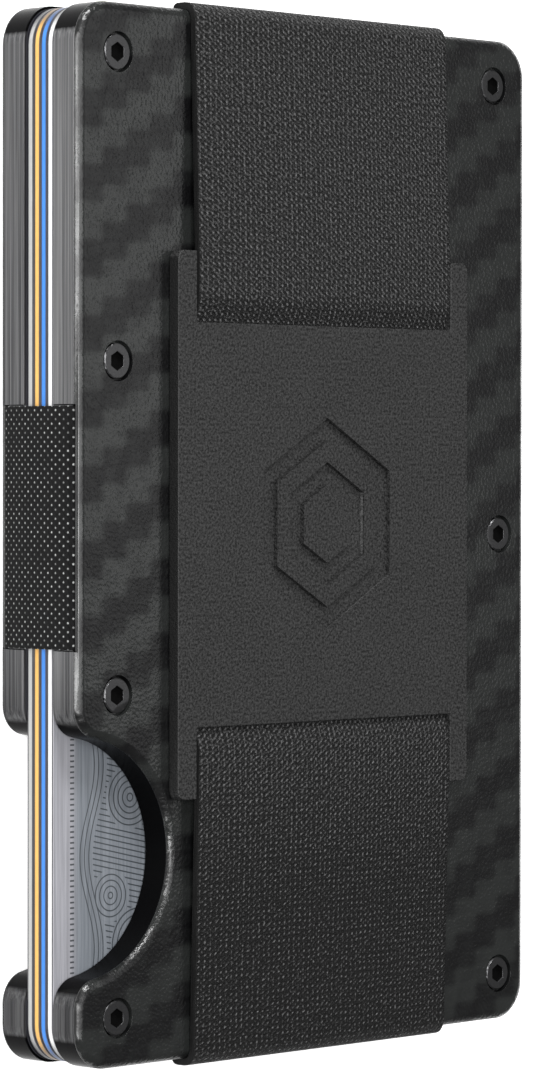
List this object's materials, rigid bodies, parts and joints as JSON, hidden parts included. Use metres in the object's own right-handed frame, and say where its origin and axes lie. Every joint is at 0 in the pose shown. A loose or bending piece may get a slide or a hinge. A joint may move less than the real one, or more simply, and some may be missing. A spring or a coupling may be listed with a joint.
{
  "type": "minimalist card wallet",
  "caption": "Slim card wallet: screwed carbon-look halves on elastic bands, a thumb notch, sliding cards and an elastic cash strap through a pad.",
  "frame": {"origin": "middle of the two halves' outline, on the rear plate's outer face, which the wallet rests on", "axes": "+X across the width, the side the cards leave by; +Y along the length, the end away from the thumb notch; +Z through the thickness, towards the cash strap and its pad"},
  "size_m": [0.0546, 0.0872, 0.0105],
  "materials": {
    "plate_laminate": "carbon-look woven laminate, satin",
    "frame_metal": "gunmetal anodised, brushed along its length",
    "liner_film": "thin black liner",
    "screw_steel": "blackened steel",
    "band_elastic": "black knitted elastic with light dots",
    "strap_webbing": "charcoal woven elastic webbing",
    "pad_polymer": "matt charcoal moulded elastomer, fine grain",
    "anchor_steel": "plain stamped steel",
    "card_silver": "silver-grey card",
    "card_gold": "gold card",
    "card_blue": "blue card",
    "card_grey": "brushed silver card with a line pattern"
  },
  "bodies": {
    "rear_half": {"rear_outer_plate": "plate_laminate", "rear_frame": "frame_metal", "rear_liner": "liner_film", "rear_screws": "screw_steel", "side_band": "band_elastic", "upper_end_band": "band_elastic", "lower_end_band": "band_elastic"},
    "front_half": {"front_outer_plate": "plate_laminate", "front_frame": "frame_metal", "front_liner": "liner_film", "front_screws": "screw_steel", "cash_strap": "strap_webbing", "upper_strap_anchor": "anchor_steel", "lower_strap_anchor": "anchor_steel"},
    "pad": {"strap_pad": "pad_polymer"},
    "first_card": {"card_1": "card_silver"},
    "second_card": {"card_2": "card_gold"},
    "third_card": {"card_3": "card_blue"},
    "fourth_card": {"card_4": "card_grey"}
  },
  "joints": [
    {"name": "spread", "type": "slide", "parent": "rear_half", "child": "front_half", "axis": [0, 0, 1], "range_m": [0, 0.0061], "stiffness_N_per_m": 600, "springref_m": -0.006, "deforming": ["side_band", "upper_end_band", "lower_end_band"]},
    {"name": "strap_lift", "type": "slide", "parent": "front_half", "child": "pad", "axis": [0, 0, 1], "range_m": [0, 0.005], "stiffness_N_per_m": 100, "springref_m": -0.01, "deforming": ["cash_strap"]},
    {"name": "card_1_slide", "type": "slide", "parent": "rear_half", "child": "first_card", "axis": [1, 0, 0], "range_m": [0, 0.05]},
    {"name": "card_2_slide", "type": "slide", "parent": "rear_half", "child": "second_card", "axis": [1, 0, 0], "range_m": [0, 0.05]},
    {"name": "card_3_slide", "type": "slide", "parent": "rear_half", "child": "third_card", "axis": [1, 0, 0], "range_m": [0, 0.05]},
    {"name": "card_4_slide", "type": "slide", "parent": "rear_half", "child": "fourth_card", "axis": [1, 0, 0], "range_m": [0, 0.05]}
  ]
}
